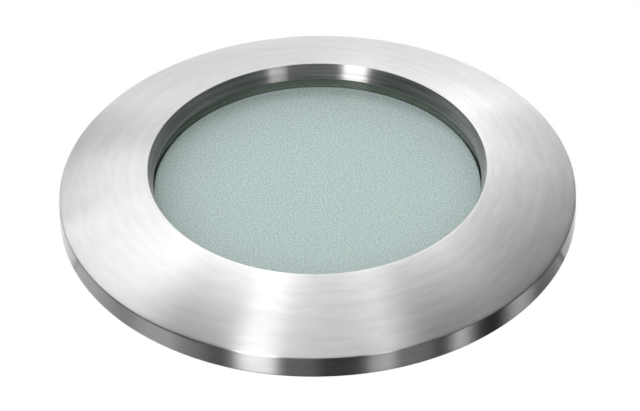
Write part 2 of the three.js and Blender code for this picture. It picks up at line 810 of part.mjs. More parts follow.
place('trim_ring', trimRing(), 'brushedAluminium');
place('glass_disc', glassDisc(), 'glass');
place('glass_seal', glassSeal(), 'silicone');
place('glass_retaining_ring', glassRetainingRing(), 'brushedAluminium');
place('bezel_o_ring', bezelORing(), 'blackRubber');
place('housing', housing(), 'castAluminium');
place('ceiling_gasket', ceilingGasket(), 'foam');
place('lamp_reflector', lampReflector(), 'reflector');
place('lamp_front_glass', lampFrontGlass(), 'lampGlass');
place('lamp_capsule', lampCapsule(), 'lampGlass');
place('lamp_base', lampBase(), 'ceramic');
place('lampholder_body', lampholderBody(), 'ceramic');
place('lampholder_cap', lampholderCap(), 'ceramic');
place('holder_bracket', holderBracket(), 'zincSteel');
place('earth_washer', earthWasher(), 'zincSteel');
place('earth_screw', earthScrew(), 'brass');
place('earth_nut', earthNut(), 'zincSteel');

for (const [end, side] of [['back', 1], ['front', -1]]) {
  place(`lamp_pin_${end}`, lampPin(side), 'brass');
  place(`holder_contact_${end}`, holderContact(side), 'brass');
  place(`holder_screw_${end}`, holderScrew(side), 'zincSteel');
  place(`bracket_screw_${end}`, bracketScrew(side), 'zincSteel');
}

const clipPoints = clipWirePoints();
for (const [end, turn] of [['right', 0], ['left', Math.PI]]) {
  const clip = new THREE.Group();
  clip.rotation.z = turn;
  spotlight.add(clip);
  place(`clip_spring_${end}`, wire(clipPoints, wireRadius, wireSides), 'springSteel', clip);
  place(`clip_sleeve_${end}`, clipSleeve(), 'clearVinyl', clip);
  place(`clip_pin_${end}`, clipPin(), 'zincSteel', clip);
}
const gap = leastGap(clipPoints, wireRadius, Math.PI * coilRadius);
console.log(`least gap of a clip's wire to itself: ${gap.toFixed(2)} mm`);

export default spotlight;
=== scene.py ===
from bisect import bisect_right
from math import asin, atan2, ceil, cos, pi, radians, sin, sqrt, tan

import bmesh
import bpy
from mathutils import Matrix, Vector

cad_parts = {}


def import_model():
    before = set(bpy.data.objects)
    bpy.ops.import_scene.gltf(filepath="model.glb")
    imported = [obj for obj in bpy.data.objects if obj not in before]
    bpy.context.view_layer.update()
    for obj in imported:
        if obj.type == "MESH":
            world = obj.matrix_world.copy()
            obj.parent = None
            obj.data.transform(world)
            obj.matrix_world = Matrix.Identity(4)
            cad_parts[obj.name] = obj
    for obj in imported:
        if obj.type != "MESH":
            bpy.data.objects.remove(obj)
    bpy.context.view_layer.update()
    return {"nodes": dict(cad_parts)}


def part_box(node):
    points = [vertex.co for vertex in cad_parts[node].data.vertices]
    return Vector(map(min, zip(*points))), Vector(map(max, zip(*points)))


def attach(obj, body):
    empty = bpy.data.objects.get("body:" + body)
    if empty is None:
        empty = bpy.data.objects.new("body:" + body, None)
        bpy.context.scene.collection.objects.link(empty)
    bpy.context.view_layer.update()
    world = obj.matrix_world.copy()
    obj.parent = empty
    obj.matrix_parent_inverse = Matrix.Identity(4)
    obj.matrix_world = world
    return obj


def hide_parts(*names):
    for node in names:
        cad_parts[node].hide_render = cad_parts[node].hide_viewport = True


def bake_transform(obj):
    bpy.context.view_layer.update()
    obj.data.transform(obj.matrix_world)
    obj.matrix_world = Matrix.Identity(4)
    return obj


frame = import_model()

# A recessed ceiling spotlight, as it hangs in a ceiling: +Z points up into the ceiling void.
# Lengths are in metres, written as millimetres times mm.
mm = 0.001

# Sizes read from the frame
ring_low, ring_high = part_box("trim_ring")
glass_low, glass_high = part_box("glass_disc")
ring_radius = ring_high.y
crown_z = ring_low.z
spigot_top = ring_high.z
glass_radius = glass_high.y

# Sizes that many pieces share
fit_gap = 0.3 * mm
seat_gap = 0.1 * mm
edge_break = 0.22 * mm
cut_past = 1 * mm
tolerance = 0.001 * mm

# Sizes of the trim ring and the glass that the frame's boxes don't show
face_width = 14.7 * mm
face_bulge = 0.45 * mm
rim_height = 3.9 * mm
rim_wall = 2.2 * mm
throat_taper = 0.9 * mm
throat_depth = 2.7 * mm
spigot_wall = 1.8 * mm
hollow_floor = -3.1 * mm
thread_pitch = 1.5 * mm
thread_depth = 0.25 * mm
glass_chamfer = 0.35 * mm
glass_border = 1.8 * mm
frost_radius = 26.8 * mm
frost_gap = 0.02 * mm
frost_thickness = 0.04 * mm

opening_radius = ring_radius - face_width
throat_radius = opening_radius - throat_taper
pocket_radius = glass_radius + fit_gap
spigot_radius = pocket_radius + spigot_wall
hollow_radius = ring_radius - rim_wall
glass_seat = crown_z + throat_depth

# How finely round things are cut, and where smooth shading stops
ring_segments = 256
housing_segments = 192
lamp_segments = 96
small_segments = 48
shading_margin = 0.2 * mm
sharp_angle = 35


# Shapes

def linked(name, data):
    piece = bpy.data.objects.new(name, data)
    bpy.context.scene.collection.objects.link(piece)
    return piece


def shaded(mesh, sharp):
    mesh.shade_smooth()
    mesh.set_sharp_from_angle(angle=radians(sharp))
    return mesh


def round_about(middle, radius, angles):
    return [Vector(middle) + radius * Vector((cos(a), sin(a))) for a in angles]


def rounded_corner(before, here, after, radius, steps):
    """The arc of that radius that meets both legs of a corner, as points."""
    back, ahead = (before - here).normalized(), (after - here).normalized()
    half = back.angle(ahead) / 2
    centre = here + (back + ahead).normalized() * radius / sin(half)
    reach = radius / tan(half)
    start, end = here + back * reach - centre, here + ahead * reach - centre
    sweep = start.angle(end)
    shares = [k / steps for k in range(steps + 1)]
    return [centre + (start * sin((1 - s) * sweep) + end * sin(s * sweep)) / sin(sweep) for s in shares]


def filleted(corners, steps=4):
    """A closed outline with its corners rounded: each is (x, y) or (x, y, radius). Points beside a rounding
    keep a long straight side flat under smooth shading."""
    arcs = []
    for i, corner in enumerate(corners):
        here = Vector(corner[:2])
        if len(corner) == 2 or corner[2] == 0:
            arcs.append([here])
            continue
        after = corners[(i + 1) % len(corners)]
        arcs.append(rounded_corner(Vector(corners[i - 1][:2]), here, Vector(after[:2]), corner[2], steps))
    points = []
    for arc, after in zip(arcs, arcs[1:] + arcs[:1]):
        points += arc
        side = after[0] - arc[-1]
        if side.length > 5 * shading_margin:
            margin = side.normalized() * shading_margin
            points += [arc[-1] + margin] if len(arc) > 1 else []
            points += [after[0] - margin] if len(after) > 1 else []
    return points


def rounded_path(corners, distance, steps=10):
    """An open path with each corner rounded by the arc that meets both legs at a distance from it."""
    points = [corners[0]]
    for before, here, after in zip(corners, corners[1:], corners[2:]):
        half = (before - here).angle(after - here) / 2
        points += rounded_corner(before, here, after, distance * tan(half), steps)
    return points + [corners[-1]]


def finished(name, builder, sharp=sharp_angle):
    bmesh.ops.recalc_face_normals(builder, faces=builder.faces)
    mesh = bpy.data.meshes.new(name)
    builder.to_mesh(mesh)
    builder.free()
    return linked(name, shaded(mesh, sharp))


def tube_faces(builder, rings):
    """Faces between each ring of vertices and the next, without those that have no width."""
    for lower, upper in zip(rings, rings[1:]):
        for k in range(len(lower)):
            n = (k + 1) % len(lower)
            corners = list(dict.fromkeys([lower[k], lower[n], upper[n], upper[k]]))
            if len(corners) > 2:
                builder.faces.new(corners)


def capped_tube(builder, rings):
    tube_faces(builder, rings)
    builder.faces.new(rings[0][::-1])
    builder.faces.new(rings[-1])


def turned(name, outline, segments=ring_segments, sharp=sharp_angle, reshape=None):
    """A closed outline of (radius, height) points turned about Z. reshape gives the radius to use for a
    radius, height and angle. The attribute "lathe" keeps the places as turned, for the grain."""
    builder = bmesh.new()
    lathe = builder.verts.layers.float_vector.new("lathe")
    rings = []
    angles = [2 * pi * k / segments for k in range(segments)]
    for radius, height in outline:
        if radius < tolerance:
            rings.append([builder.verts.new((0, 0, height))] * segments)
            continue
        radii = [reshape(radius, height, a) if reshape else radius for a in angles]
        rings.append([builder.verts.new((r * cos(a), r * sin(a), height)) for r, a in zip(radii, angles)])
    tube_faces(builder, rings + rings[:1])
    for vertex in builder.verts:
        vertex[lathe] = vertex.co
    return finished(name, builder, sharp)


def hoop(name, inner, outer, bottom, top, inner_round, outer_round, segments=housing_segments, reshape=None):
    """A turned ring of rectangular section with rounded edges."""
    return turned(name, filleted([
        (inner, bottom, inner_round), (outer, bottom, outer_round),
        (outer, top, outer_round), (inner, top, inner_round)]), segments, reshape=reshape)


def rod(name, radius, bottom, top, segments=small_segments):
    return turned(name, [(0, bottom), (radius, bottom), (radius, top), (0, top)], segments)


def threaded(core, bottom, top, pitch, depth):
    """A reshape for turned: cuts a screw thread into the wall at the core's radius, between two heights."""
    def reshape(radius, height, angle):
        if abs(radius - core) > depth / 10 or not bottom < height < top:
            return radius
        turns = height / pitch - angle / (2 * pi)
        fade = min(1, (height - bottom) / pitch, (top - height) / pitch)
        return radius - depth * fade * abs(2 * (turns % 1) - 1)
    return reshape


def stepped(first, last, step):
    """Points from one to the other, about a step apart, without the last."""
    count = max(1, round((last - first).length / step))
    return [first.lerp(last, k / count) for k in range(count)]


def lofted(name, sections):
    """One closed body through outlines of equal length: each section is (outline of x, y points, height)."""
    builder = bmesh.new()
    rings = [[builder.verts.new((p[0], p[1], height)) for p in outline] for outline, height in sections]
    capped_tube(builder, rings)
    return finished(name, builder)


def rounded_rectangle(width, length, corner):
    x, y = width / 2, length / 2
    return filleted([(x, -y, corner), (x, y, corner), (-x, y, corner), (-x, -y, corner)], steps=8)


def rounded_block(name, width, length, corner, bottom, top, edge, steps=4):
    """A block with round upright corners and softly rounded rims."""
    angles = [k / steps * pi / 2 for k in range(steps + 1)]
    quarter = [(edge * (1 - sin(a)), edge * (1 - cos(a))) for a in angles]
    rims = [(inset, bottom + rise) for inset, rise in quarter]
    rims += [(inset, top - rise) for inset, rise in reversed(quarter)]
    return lofted(name, [(rounded_rectangle(width - 2 * i, length - 2 * i, corner - i), z) for i, z in rims])


def plate(name, outline, thickness, edge, middle=0):
    """An outline of (x, z) points as a plate across Y with rounded rims, centred on y = middle."""
    builder = bmesh.new()
    front = [builder.verts.new((p[0], middle - thickness / 2, p[1])) for p in outline]
    face = builder.faces.new(front)
    pushed = bmesh.ops.extrude_face_region(builder, geom=[face])["geom"]
    far = [v for v in pushed if isinstance(v, bmesh.types.BMVert)]
    bmesh.ops.translate(builder, verts=far, vec=(0, thickness, 0))
    rims = [e for e in builder.edges if abs(e.verts[0].co.y - e.verts[1].co.y) < thickness / 2]
    bmesh.ops.bevel(builder, geom=rims, offset=edge, segments=2, profile=0.5, affect="EDGES")
    return finished(name, builder)


def wire(name, points, radius, sides=12):
    """A round wire along points that don't set out along Y. The attribute "drawn" runs round and along it."""
    builder = bmesh.new()
    drawn, rings = [], []
    up, travelled = Vector((0, 1, 0)), 0
    for i, point in enumerate(points):
        before, after = points[max(i - 1, 0)], points[min(i + 1, len(points) - 1)]
        along = (after - before).normalized()
        travelled += (point - before).length
        up = (up - along * up.dot(along)).normalized()
        side = along.cross(up)
        rings.append([])
        for k in range(sides):
            angle = 2 * pi * k / sides
            rings[-1].append(builder.verts.new(point + (up * cos(angle) + side * sin(angle)) * radius))
            drawn += [radius * cos(angle), radius * sin(angle), travelled]
    capped_tube(builder, rings)
    piece = finished(name, builder)
    piece.data.attributes.new("drawn", "FLOAT_VECTOR", "POINT").data.foreach_set("vector", drawn)
    return piece


def moved(piece, matrix):
    piece.data.transform(matrix)
    return piece


def placed(piece, angle, x=0, y=0, z=0):
    """Turns a piece about Z and then moves it."""
    return moved(piece, Matrix.Translation((x, y, z)) @ Matrix.Rotation(angle, 4, "Z"))


def laid_along_y(piece, x=0, z=0):
    """Turns a piece made about Z so that its top points to +Y, and moves it."""
    return moved(piece, Matrix.Translation((x, 0, z)) @ Matrix.Rotation(-pi / 2, 4, "X"))


def joined(pieces):
    """Several pieces as one object, with their meshes as they are."""
    builder = bmesh.new()
    for piece in pieces:
        builder.from_mesh(piece.data)
    mesh = bpy.data.meshes.new("joined")
    builder.to_mesh(mesh)
    builder.free()
    for piece in pieces:
        bpy.data.objects.remove(piece)
    return linked("joined", mesh)


def combined(piece, operation, tool, sharp=sharp_angle):
    """The piece with a tool added (UNION), cut away (DIFFERENCE) or kept in common (INTERSECT)."""
    step = piece.modifiers.new("combine", "BOOLEAN")
    step.operation, step.solver, step.object = operation, "EXACT", tool
    result = bpy.data.meshes.new_from_object(piece.evaluated_get(bpy.context.evaluated_depsgraph_get()))
    piece.modifiers.clear()
    piece.data = shaded(result, sharp)
    bpy.data.objects.remove(tool)
    return piece


def drill(radius, bottom, top, x=0, y=0):
    """The tool for an upright round hole, which stands past both ends of it."""
    return placed(rod("drill", radius, bottom - cut_past, top + cut_past), 0, x, y)


def cut(piece, *tools, sharp=sharp_angle):
    return combined(piece, "DIFFERENCE", joined(tools), sharp)


# Materials

def material(name):
    made = bpy.data.materials.new(name)
    made.use_nodes = True
    return made, made.node_tree, made.node_tree.nodes["Principled BSDF"]


def fed(socket, given):
    """Links an input to another node's output, or sets its value."""
    if isinstance(given, bpy.types.NodeSocket):
        socket.id_data.links.new(given, socket)
    else:
        socket.default_value = given


def put(node, **given):
    """Feeds a node's inputs by name, where an underscore stands for a space."""
    for name, value in given.items():
        fed(node.inputs[name.replace("_", " ")], value)
    return node


def new_node(tree, kind, *inputs, **settings):
    """A new node with those settings, and its first inputs fed in their order."""
    node = tree.nodes.new("ShaderNode" + kind)
    for name, value in settings.items():
        setattr(node, name, value)
    for socket, value in zip(node.inputs, inputs):
        fed(socket, value)
    return node


def maths(tree, operation, *inputs):
    return new_node(tree, "Math", *inputs, operation=operation).outputs[0]


def weighed(tree, first, second, share):
    """The sum of two values, with that share of the first."""
    parts = maths(tree, "MULTIPLY", first, share), maths(tree, "MULTIPLY", second, 1 - share)
    return maths(tree, "ADD", *parts)


def noise(tree, place, scale, detail):
    return put(new_node(tree, "TexNoise", place), Scale=scale, Detail=detail).outputs["Fac"]


def ranged(tree, source, low, high, start=0.3, end=0.7):
    """Maps the span from start to end, a noise's own unless given, to the one from low to high."""
    node = put(new_node(tree, "MapRange", source), From_Min=start, From_Max=end, To_Min=low, To_Max=high)
    return node.outputs["Result"]


def blended(tree, share, first, second):
    """A colour between two, each given as (red, green, blue) or as a socket."""
    node = new_node(tree, "Mix", share, data_type="RGBA")
    for socket, given in ((node.inputs[6], first), (node.inputs[7], second)):
        fed(socket, (*given, 1) if isinstance(given, tuple) else given)
    return node.outputs[2]


def bumped(shader, height, distance, strength=1):
    node = put(new_node(shader.id_data, "Bump"), Distance=distance, Strength=strength, Height=height)
    put(shader, Normal=node.outputs["Normal"])


def mixed_surface(tree, share, first, second):
    mix = new_node(tree, "MixShader", share, first.outputs[0], second.outputs[0])
    put(tree.nodes["Material Output"], Surface=mix.outputs[0])


def axis_distance(tree, place):
    flat = new_node(tree, "VectorMath", place, (1, 1, 0), operation="MULTIPLY").outputs[0]
    return new_node(tree, "VectorMath", flat, operation="LENGTH").outputs["Value"]


def object_place(tree):
    return new_node(tree, "TexCoord").outputs["Object"]


def attribute_place(tree, name, stretch):
    source = new_node(tree, "Attribute", attribute_name=name).outputs["Vector"]
    return new_node(tree, "VectorMath", source, stretch, operation="MULTIPLY").outputs[0]


def polar_place(tree, place, along, across):
    """Coordinates for a turned finish: slow round the axis and quick across it."""
    x, y, z = new_node(tree, "SeparateXYZ", place).outputs
    radius = axis_distance(tree, place)
    around = [maths(tree, "MULTIPLY", maths(tree, "DIVIDE", part, radius), along) for part in (x, y)]
    steps = maths(tree, "MULTIPLY", maths(tree, "SUBTRACT", radius, z), across)
    return new_node(tree, "CombineXYZ", *around, steps).outputs[0]


def ring_place(tree):
    return polar_place(tree, object_place(tree), 2, 4000)


def lathe_place(tree):
    return polar_place(tree, attribute_place(tree, "lathe", (1, 1, 1)), 3, 4000)


def sheet_place(tree):
    return attribute_place(tree, "flat", (4200, 4200, 160))


def wire_place(tree):
    return attribute_place(tree, "drawn", (5200, 5200, 120))


def brushed_aluminium():
    """Circular brushing blurs across its grooves and hardly along them, so strip lamps make radial streaks.
    Inside the opening the base colour is painted darker than on the face: painted shade for the shade that
    falls there."""
    made, tree, shader = material("brushed_aluminium")
    place = object_place(tree)
    fine = noise(tree, polar_place(tree, place, 10, 2400), 1, 0)
    coarse = noise(tree, polar_place(tree, place, 2, 1200), 1, 0)
    grain = weighed(tree, fine, coarse, 0.5)
    face = blended(tree, ranged(tree, grain, 0, 1), (0.755, 0.755, 0.75), (0.835, 0.835, 0.83))
    # painted shade: a darker base colour inside the opening, standing in for the shade in that recess
    painted_throat_shade = blended(tree, ranged(tree, coarse, 0, 1), (0.36, 0.35, 0.35), (0.56, 0.55, 0.55))
    crossing = 0.08 * mm
    on_face = ranged(tree, axis_distance(tree, place), 0, 1, opening_radius, opening_radius + crossing)
    tangent = new_node(tree, "Tangent", direction_type="RADIAL", axis="Z")
    put(shader, Base_Color=blended(tree, on_face, painted_throat_shade, face), Metallic=1, Anisotropic=1,
        Anisotropic_Rotation=0.25, Tangent=tangent.outputs["Tangent"],
        Roughness=ranged(tree, coarse, 0.278, 0.296))
    bumped(shader, coarse, 0.0005 * mm)
    return made


def frosting():
    made, tree, shader = material("frosted_glass")
    place = object_place(tree)
    fine = noise(tree, place, 3400, 1)
    speckled = ranged(tree, fine, 0, 1, 0.35, 0.65)
    put(shader, Base_Color=blended(tree, speckled, (0.53, 0.545, 0.59), (0.77, 0.785, 0.835)),
        Roughness=ranged(tree, noise(tree, place, 60, 2), 0.72, 0.85))
    bumped(shader, fine, 0.02 * mm, 0.4)
    return made


def clear_glass():
    """Clear glass with a green body. Lamps reach what lies behind it through a plain tinted pane."""
    made, tree, shader = material("clear_glass")
    tint = (0.93, 0.985, 0.955, 1)
    put(shader, Base_Color=tint, Roughness=0.05, IOR=1.52, Transmission_Weight=1)
    rays = new_node(tree, "LightPath").outputs
    plain = maths(tree, "MAXIMUM", rays["Is Shadow Ray"], rays["Is Diffuse Ray"])
    mixed_surface(tree, plain, shader, new_node(tree, "BsdfTransparent", tint))
    return made


def grained(name, dark, light, rough, metallic, scale, detail, bump, cloud, place=object_place, others={}):
    """A finish with fine grain and slow clouding in its colour, roughness and height."""
    made, tree, shader = material(name)
    fine = noise(tree, place(tree), scale, detail)
    both = weighed(tree, fine, noise(tree, object_place(tree), cloud, 2), 0.6)
    put(shader, Base_Color=blended(tree, ranged(tree, both, 0, 1), dark, light),
        Roughness=ranged(tree, both, *rough), Metallic=metallic, **others)
    if bump:
        bumped(shader, fine, bump * mm)
    return made


# Each finish: dark and light colour, lowest and highest roughness, metallic, the grain's scale, detail and
# bump in millimetres, the clouds' scale, what places the grain, and other values of the shader
finishes = {
    "cast_aluminium": ((0.5, 0.505, 0.51), (0.68, 0.685, 0.69), (0.42, 0.6), 0.6, 2600, 5, 0.05, 120),
    "turned_aluminium": ((0.66, 0.66, 0.655), (0.8, 0.8, 0.79), (0.28, 0.4), 1, 1, 3, 0.01, 200, ring_place),
    "zinc_steel": ((0.6, 0.61, 0.63), (0.76, 0.77, 0.79), (0.26, 0.42), 1, 1, 4, 0.008, 140, sheet_place),
    "screw_steel": ((0.62, 0.62, 0.63), (0.8, 0.8, 0.81), (0.22, 0.34), 1, 1, 3, 0.003, 300, lathe_place),
    "spring_steel": ((0.48, 0.49, 0.5), (0.62, 0.63, 0.64), (0.22, 0.36), 1, 1, 3, 0.006, 300, wire_place),
    "brass": ((0.66, 0.5, 0.23), (0.82, 0.66, 0.35), (0.24, 0.36), 1, 1, 3, 0.003, 300, lathe_place),
    "nickel": ((0.62, 0.6, 0.56), (0.76, 0.74, 0.7), (0.2, 0.32), 1, 1500, 3, 0.004, 300),
    "ceramic": ((0.82, 0.79, 0.72), (0.9, 0.87, 0.8), (0.32, 0.5), 0, 1700, 4, 0.03, 150, object_place,
                {"Subsurface_Weight": 0.08, "Subsurface_Scale": 0.5 * mm}),
    # silicone: a dark seal, darkened further as painted shade so that the band seen through the glass's edge
    # stays as dark as under the ring's lip
    "silicone": ((0.15, 0.18, 0.15), (0.22, 0.25, 0.22), (0.55, 0.7), 0, 900, 2, 0.01, 120),
    "black_rubber": ((0.02, 0.02, 0.02), (0.045, 0.045, 0.045), (0.6, 0.8), 0, 2200, 3, 0.02, 200),
    "foam": ((0.025, 0.025, 0.028), (0.085, 0.085, 0.09), (0.85, 0.98), 0, 2400, 5, 0.12, 200),
    "clear_vinyl": ((0.74, 0.72, 0.64), (0.86, 0.84, 0.78), (0.25, 0.38), 0, 900, 2, 0.01, 160),
    "lamp_glass": ((0.9, 0.94, 0.95), (0.94, 0.97, 0.98), (0.02, 0.06), 0, 600, 2, 0, 100, object_place,
                   {"Transmission_Weight": 1, "IOR": 1.5}),
    "lamp_mirror": ((0.5, 0.46, 0.62), (0.74, 0.7, 0.8), (0.12, 0.24), 0.85, 400, 2, 0.01, 70, object_place,
                    {"Coat_Weight": 0.6, "Coat_Roughness": 0.05}),
}
looks = {name: grained(name, *values) for name, values in finishes.items()}
looks.update(brushed_aluminium=brushed_aluminium(), frosted_glass=frosting(), clear_glass=clear_glass())


def dressed(piece, body, slot, *replaced, look=None):
    """Rides a piece on its body, hides the CAD nodes it replaces, and gives it the slot's look or another."""
    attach(piece, body)
    if replaced:
        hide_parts(*replaced)
    piece.data.materials.clear()
    piece.data.materials.append(looks[look or slot])


# The trim ring and the glass

def face_outline(steps=24):
    """The ring's face from the rim to the crown: a slope that bulges a little."""
    rim, run = Vector((ring_radius, -rim_height)), Vector((-face_width, crown_z + rim_height))
    outward = Vector((-run.y, run.x)).normalized()
    shares = [k / steps for k in range(steps + 1)]
    return [rim + run * share + outward * (4 * face_bulge * share * (1 - share)) for share in shares]


def trim_ring():
    rim, *slope, crown = face_outline()
    thread_top = Vector((spigot_radius, spigot_top - 3 * edge_break))
    thread_wall = stepped(thread_top, Vector((spigot_radius, hollow_floor)), thread_pitch / 8)
    corners = [
        (ring_radius, 0, edge_break), (*rim, edge_break), *map(tuple, slope), (*crown, edge_break / 3),
        (throat_radius, glass_seat, edge_break / 2), (pocket_radius, glass_seat),
        (pocket_radius, spigot_top, edge_break), (spigot_radius, spigot_top, 2 * edge_break),
        *map(tuple, thread_wall), (spigot_radius, hollow_floor),
        (hollow_radius, hollow_floor, edge_break), (hollow_radius, 0, edge_break)]
    thread = threaded(spigot_radius, hollow_floor, spigot_top - 2 * edge_break, thread_pitch, thread_depth)
    ring = turned("turned_trim_ring", filleted(corners), reshape=thread)
    dressed(ring, "trim", "brushed_aluminium", "trim_ring")


def glass():
    pane = turned("clear_glass_disc", filleted([
        (0, glass_low.z), (glass_radius, glass_low.z, glass_chamfer),
        (glass_radius, glass_high.z, glass_chamfer), (0, glass_high.z)]))
    dressed(pane, "glass_unit", "frosted_glass", "glass_disc", look="clear_glass")
    bottom = glass_high.z + frost_gap
    frost = rod("frosted_glass_back", frost_radius, bottom, bottom + frost_thickness, ring_segments)
    dressed(frost, "glass_unit", "frosted_glass")


# Housing sizes
barrel_bore = spigot_radius + fit_gap
barrel_radius = barrel_bore + 2 * mm
flange_radius = hollow_radius - fit_gap
flange_bottom, flange_top = -2.8 * mm, -1 * mm
flange_fillet = 0.5 * mm
barrel_top = 7.7 * mm
can_top = 23.7 * mm
can_bore = 27 * mm
can_radius = 28.6 * mm
can_fillet = 0.8 * mm
bore_end = 5.7 * mm
fin_reach = 4.8 * mm
fin_thickness = 1.3 * mm
fin_margin = 0.9 * mm
fins_per_quarter = 7
wall_root = 0.9 * mm
rib_bottom, rib_top = barrel_top - wall_root, can_top - 0.8 * mm
pad_width = 15 * mm
pad_face = can_radius + 0.6 * mm

# Clip sizes
wire_radius = 0.7 * mm
coil_radius = 2.2 * mm
coil_turns = 3
coil_pitch = 1.9 * mm
tail_offset = 1.5 * mm
tail_height = 7 * mm
arm_length = 28 * mm
arm_corner = 2.4 * mm
lug_thickness = 2 * mm
lug_nose = 3 * mm
clip_pin_radius = 1.1 * mm
sleeve_low, sleeve_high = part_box("clip_sleeve_right")
pin_low, pin_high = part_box("clip_pin_right")
pivot_x, pivot_z = (pin_low.x + pin_high.x) / 2, (pin_low.z + pin_high.z) / 2
tip_x, tip_z = (sleeve_low.x + sleeve_high.x) / 2, (sleeve_low.z + sleeve_high.z) / 2
mirror_y = Matrix.Diagonal((1, -1, 1))
coil_advance = coil_pitch * (coil_turns + 0.25)
arm_y = tail_offset + coil_advance
lug_inner = arm_y + wire_radius + fit_gap
lug_outer = lug_inner + lug_thickness

# Strap and screw sizes
strap_low, strap_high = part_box("holder_bracket")
strap_thickness = 1.2 * mm
strap_bend = 3 * mm
strap_corner = 2 * mm
knee_z = can_top + 26 * mm
top_half_length = 18.5 * mm
bracket_screw_z = (strap_low.z + can_top) / 2
earth_z = can_top + 9 * mm
earth_bore = 2.1 * mm
holder_screw_y = 12.2 * mm
screw_radius = 1.4 * mm
screw_bore = screw_radius + fit_gap
head_radius = 2.7 * mm
head_height = 1.8 * mm


def flange_and_can():
    return turned("cast_housing", filleted([
        (barrel_bore, flange_bottom, edge_break), (flange_radius, flange_bottom, 2 * edge_break),
        (flange_radius, flange_top, 2 * edge_break), (barrel_radius, flange_top, flange_fillet),
        (barrel_radius, barrel_top, can_fillet), (can_radius, barrel_top, can_fillet),
        (can_radius, can_top, 2 * edge_break), (can_bore, can_top, 2 * edge_break),
        (can_bore, bore_end), (barrel_bore, bore_end)]), housing_segments)


def cooling_fin(angle):
    """A fin with a round outer edge, whose sides draw in a little towards it, as a casting's do."""
    foot, tip = can_radius - wall_root, can_radius + fin_reach
    shoulder, shoulder_round, top_round, edge, draft = 4 * mm, 1.2 * mm, 0.8 * mm, 0.3 * mm, 0.25
    outline = filleted([
        (foot, rib_bottom), (tip, rib_bottom), (tip, can_top - shoulder, shoulder_round),
        (can_radius + fin_reach / 4, rib_top, top_round), (foot, rib_top)])
    fin = plate("fin", outline, fin_thickness, edge)
    for vertex in fin.data.vertices:
        vertex.co.y *= 1 - draft * max(0, vertex.co.x - can_radius) / fin_reach
    return placed(fin, angle)


def clip_lug(middle, turn):
    """A lug for the clip's pin, with a round nose and its foot in the can's wall."""
    foot, foot_rise = can_radius - 2.8 * mm, 0.8 * mm
    angles = [k / 20 * pi for k in range(11)]
    nose = [(pivot_x + lug_nose * cos(a), pivot_z + lug_nose * sin(a)) for a in angles]
    outline = [(foot, rib_bottom), (pivot_x + lug_nose, rib_bottom), *nose,
               (foot, pivot_z + lug_nose + foot_rise)]
    return placed(plate("lug", outline, lug_thickness, edge_break, middle), turn)


def strap_pad(turn):
    """A flat pad on the can that a leg of the strap is screwed to."""
    depth = pad_face - can_radius + 1.2 * mm
    half, corner = pad_width / 2, 1.5 * mm
    outline = filleted([
        (-half, rib_bottom), (half, rib_bottom), (half, rib_top, corner), (-half, rib_top, corner)])
    return placed(plate("pad", outline, depth, edge_break, pad_face - depth / 2), turn)


def housing():
    clip_half = asin((lug_outer + fin_thickness) / can_radius) + fin_margin / can_radius
    pad_half = asin((pad_width + fin_thickness) / 2 / can_radius) + fin_margin / can_radius
    grown = []
    for quarter in range(4):
        before, after = (clip_half, pad_half) if quarter % 2 == 0 else (pad_half, clip_half)
        start, end = quarter * pi / 2 + before, (quarter + 1) * pi / 2 - after
        gaps = fins_per_quarter - 1
        grown += [cooling_fin(start + (end - start) * k / gaps) for k in range(fins_per_quarter)]
    holes = []
    for turn in (0, pi):
        lug_middle = (lug_inner + lug_outer) / 2
        grown += [clip_lug(lug_middle, turn), clip_lug(-lug_middle, turn), strap_pad(turn)]
        pin_hole = laid_along_y(drill(clip_pin_radius + fit_gap / 2, -lug_outer, lug_outer), pivot_x, pivot_z)
        screw_hole = laid_along_y(drill(screw_bore, can_bore, pad_face), 0, bracket_screw_z)
        holes += [placed(pin_hole, turn), placed(screw_hole, turn)]
    body = combined(flange_and_can(), "UNION", joined(grown))
    bore = rod("bore", can_bore, bore_end + cut_past, can_top + cut_past, housing_segments)
    dressed(cut(body, bore, *holes), "housing", "cast_aluminium", "housing")


def seals():
    low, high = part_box("ceiling_gasket")
    foam_round, inner_gap = 0.2 * mm, 1.9 * mm
    gasket = hoop("foam_gasket", barrel_radius + inner_gap, high.y, low.z, high.z, foam_round, foam_round)
    dressed(gasket, "housing", "foam", "ceiling_gasket")
    low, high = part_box("bezel_o_ring")
    section = 0.7 * mm
    middle = Vector((high.y - section, high.z - section))
    circle = round_about(middle, section, [2 * pi * k / 16 for k in range(16)])
    pressed = [Vector((p.x, max(low.z, min(high.z, p.y)))) for p in circle]
    dressed(turned("rubber_o_ring", pressed, housing_segments), "trim", "black_rubber", "bezel_o_ring")
    low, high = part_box("glass_seal")
    inner, seal_round = glass_radius - glass_border, 0.15 * mm
    seal = hoop("silicone_seal", inner, glass_radius, low.z, high.z, seal_round, seal_round)
    dressed(seal, "glass_unit", "silicone", "glass_seal")


def retaining_ring():
    low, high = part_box("glass_retaining_ring")
    inner, outer = glass_radius - glass_border, glass_radius
    ring = hoop("retaining_ring", inner, outer, low.z, high.z, edge_break, edge_break)
    width, length, corner, depth, edge = 2.6 * mm, 6 * mm, 0.3 * mm, 1.2 * mm, 0.1 * mm
    slots = []
    for k in range(4):
        slot = rounded_block("slot", width, length, corner, high.z - depth, high.z + cut_past, edge)
        slots.append(placed(placed(slot, 0, y=(inner + outer) / 2), pi / 4 + k * pi / 2))
    dressed(cut(ring, *slots), "trim", "brushed_aluminium", "glass_retaining_ring", look="turned_aluminium")


